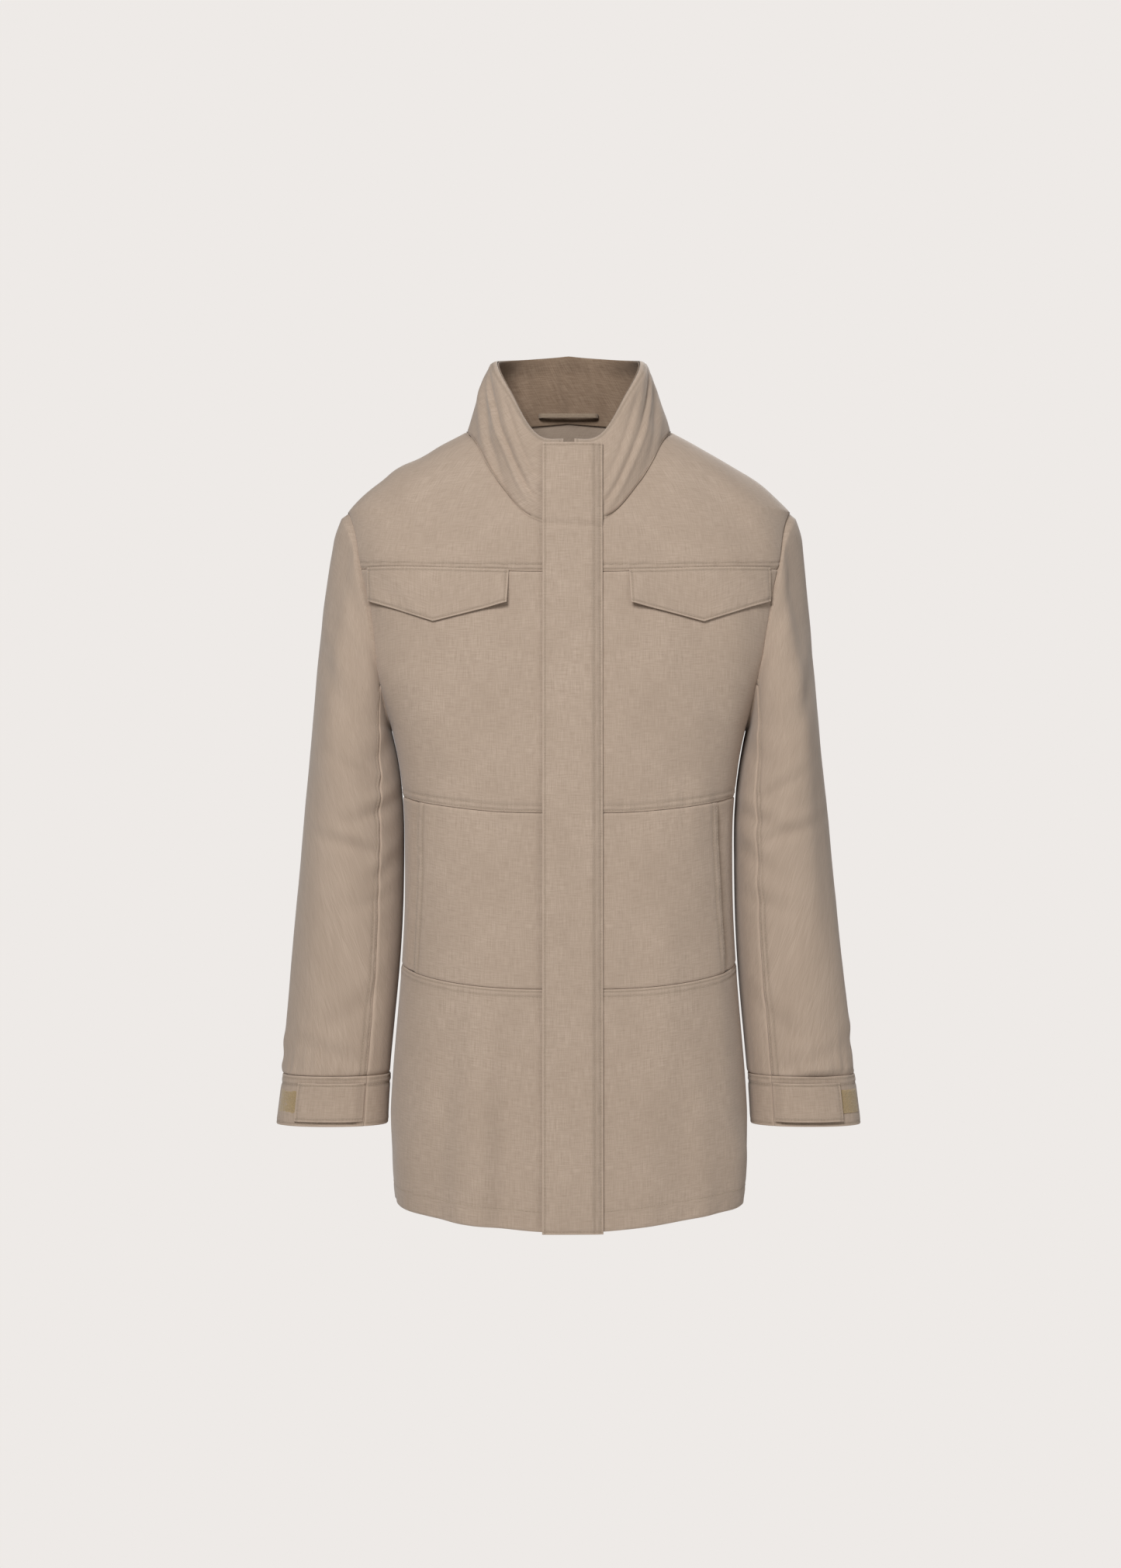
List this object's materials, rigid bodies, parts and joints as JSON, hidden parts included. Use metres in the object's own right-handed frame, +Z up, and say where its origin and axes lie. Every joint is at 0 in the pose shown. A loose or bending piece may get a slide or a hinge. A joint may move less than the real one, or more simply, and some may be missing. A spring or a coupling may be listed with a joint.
{
  "type": "field jacket",
  "caption": "Long cloth work jacket with funnel collar, storm flap over a front zip, pointed chest flaps, hand pockets and strapped cuffs.",
  "frame": {"origin": "middle of the flat underside of the hanger loop inside the back of the neck", "axes": "+Z up as worn and as it hangs, -Y out of the chest, +X to the wearer's left"},
  "size_m": [0.6114, 0.2758, 0.9103],
  "materials": {
    "outer_cloth": "stone-coloured cotton and linen plain weave, matt, dry hand",
    "facing": "the same cloth on the inside of collar, front edges and hem",
    "lining": "smooth brown-grey woven lining, slight sheen",
    "pocketing": "close plain-weave cotton pocketing, matt",
    "hook_and_loop": "khaki hook-and-loop fastener, fuzzy and matt",
    "zip_tape": "tonal woven polyester zip tape",
    "loop_tape": "rolled and stitched tape of the outer cloth",
    "zip_metal": "antiqued brass, dark and slightly worn"
  },
  "bodies": {
    "jacket": {"left_front_yoke": "outer_cloth", "right_front_yoke": "outer_cloth", "left_chest_panel": "outer_cloth", "right_chest_panel": "outer_cloth", "left_pocket_panel": "outer_cloth", "right_pocket_panel": "outer_cloth", "left_side_panel": "outer_cloth", "right_side_panel": "outer_cloth", "left_lower_front": "outer_cloth", "right_lower_front": "outer_cloth", "left_front_facing": "facing", "right_front_facing": "facing", "left_hem_facing": "facing", "right_hem_facing": "facing", "left_lining": "lining", "right_lining": "lining", "left_hand_pocket_bag": "pocketing", "right_hand_pocket_bag": "pocketing", "left_chest_pocket_bag": "pocketing", "right_chest_pocket_bag": "pocketing", "back_yoke": "outer_cloth", "back_panel": "outer_cloth", "back_skirt": "outer_cloth", "back_hem_facing": "facing", "back_lining": "lining", "collar": "outer_cloth", "collar_facing": "facing", "left_zip_teeth": "zip_metal", "right_zip_teeth": "zip_metal", "left_zip_tape": "zip_tape", "right_zip_tape": "zip_tape", "zip_bottom_box": "zip_metal", "zip_top_stop": "zip_metal", "storm_flap_welt": "outer_cloth", "zip_guard": "facing", "hanger_loop": "loop_tape"},
    "storm_flap": {"storm_flap": "outer_cloth"},
    "left_chest_flap": {"left_chest_flap": "outer_cloth"},
    "right_chest_flap": {"right_chest_flap": "outer_cloth"},
    "left_sleeve": {"left_top_sleeve": "outer_cloth", "left_under_sleeve": "outer_cloth", "left_cuff": "outer_cloth", "left_cuff_loop_patch": "hook_and_loop"},
    "right_sleeve": {"right_top_sleeve": "outer_cloth", "right_under_sleeve": "outer_cloth", "right_cuff": "outer_cloth", "right_cuff_loop_patch": "hook_and_loop"},
    "left_cuff_tab": {"left_cuff_tab": "outer_cloth", "left_cuff_tab_hook": "hook_and_loop"},
    "right_cuff_tab": {"right_cuff_tab": "outer_cloth", "right_cuff_tab_hook": "hook_and_loop"},
    "zip_slider": {"zip_slider": "zip_metal"},
    "zip_pull": {"zip_pull": "zip_metal"}
  },
  "joints": [
    {"name": "storm_flap_turn", "type": "hinge", "parent": "jacket", "child": "storm_flap", "pos_m": [0.0345, -0.17004, -0.41944], "axis": [0, 0.0825, 0.9966], "range_deg": [0, 110]},
    {"name": "left_chest_flap_lift", "type": "hinge", "parent": "jacket", "child": "left_chest_flap", "pos_m": [0.1355, -0.13863, -0.16998], "axis": [-0.9674, -0.2515, -0.029], "range_deg": [0, 100]},
    {"name": "right_chest_flap_lift", "type": "hinge", "parent": "jacket", "child": "right_chest_flap", "pos_m": [-0.1355, -0.13863, -0.16998], "axis": [-0.9674, 0.2515, 0.029], "range_deg": [0, 100]},
    {"name": "left_sleeve_raise", "type": "hinge", "parent": "jacket", "child": "left_sleeve", "pos_m": [0.2365, -0.04696, -0.1045], "axis": [0, -1, 0], "range_deg": [0, 45]},
    {"name": "right_sleeve_raise", "type": "hinge", "parent": "jacket", "child": "right_sleeve", "pos_m": [-0.2365, -0.04696, -0.1045], "axis": [0, 1, 0], "range_deg": [0, 45]},
    {"name": "left_cuff_tab_peel", "type": "hinge", "parent": "left_sleeve", "child": "left_cuff_tab", "pos_m": [0.2119, -0.1083, -0.722], "axis": [0, 0, -1], "range_deg": [0, 100]},
    {"name": "right_cuff_tab_peel", "type": "hinge", "parent": "right_sleeve", "child": "right_cuff_tab", "pos_m": [-0.2119, -0.1083, -0.722], "axis": [0, 0, 1], "range_deg": [0, 100]},
    {"name": "zip_slider_run", "type": "slide", "parent": "jacket", "child": "zip_slider", "axis": [0, -0.0825, -0.9966], "range_m": [0, 0.71]},
    {"name": "zip_pull_swing", "type": "hinge", "parent": "zip_slider", "child": "zip_pull", "pos_m": [0, -0.13308, -0.05545], "axis": [0, -0.9966, 0.0825], "range_deg": [-40, 40]}
  ]
}
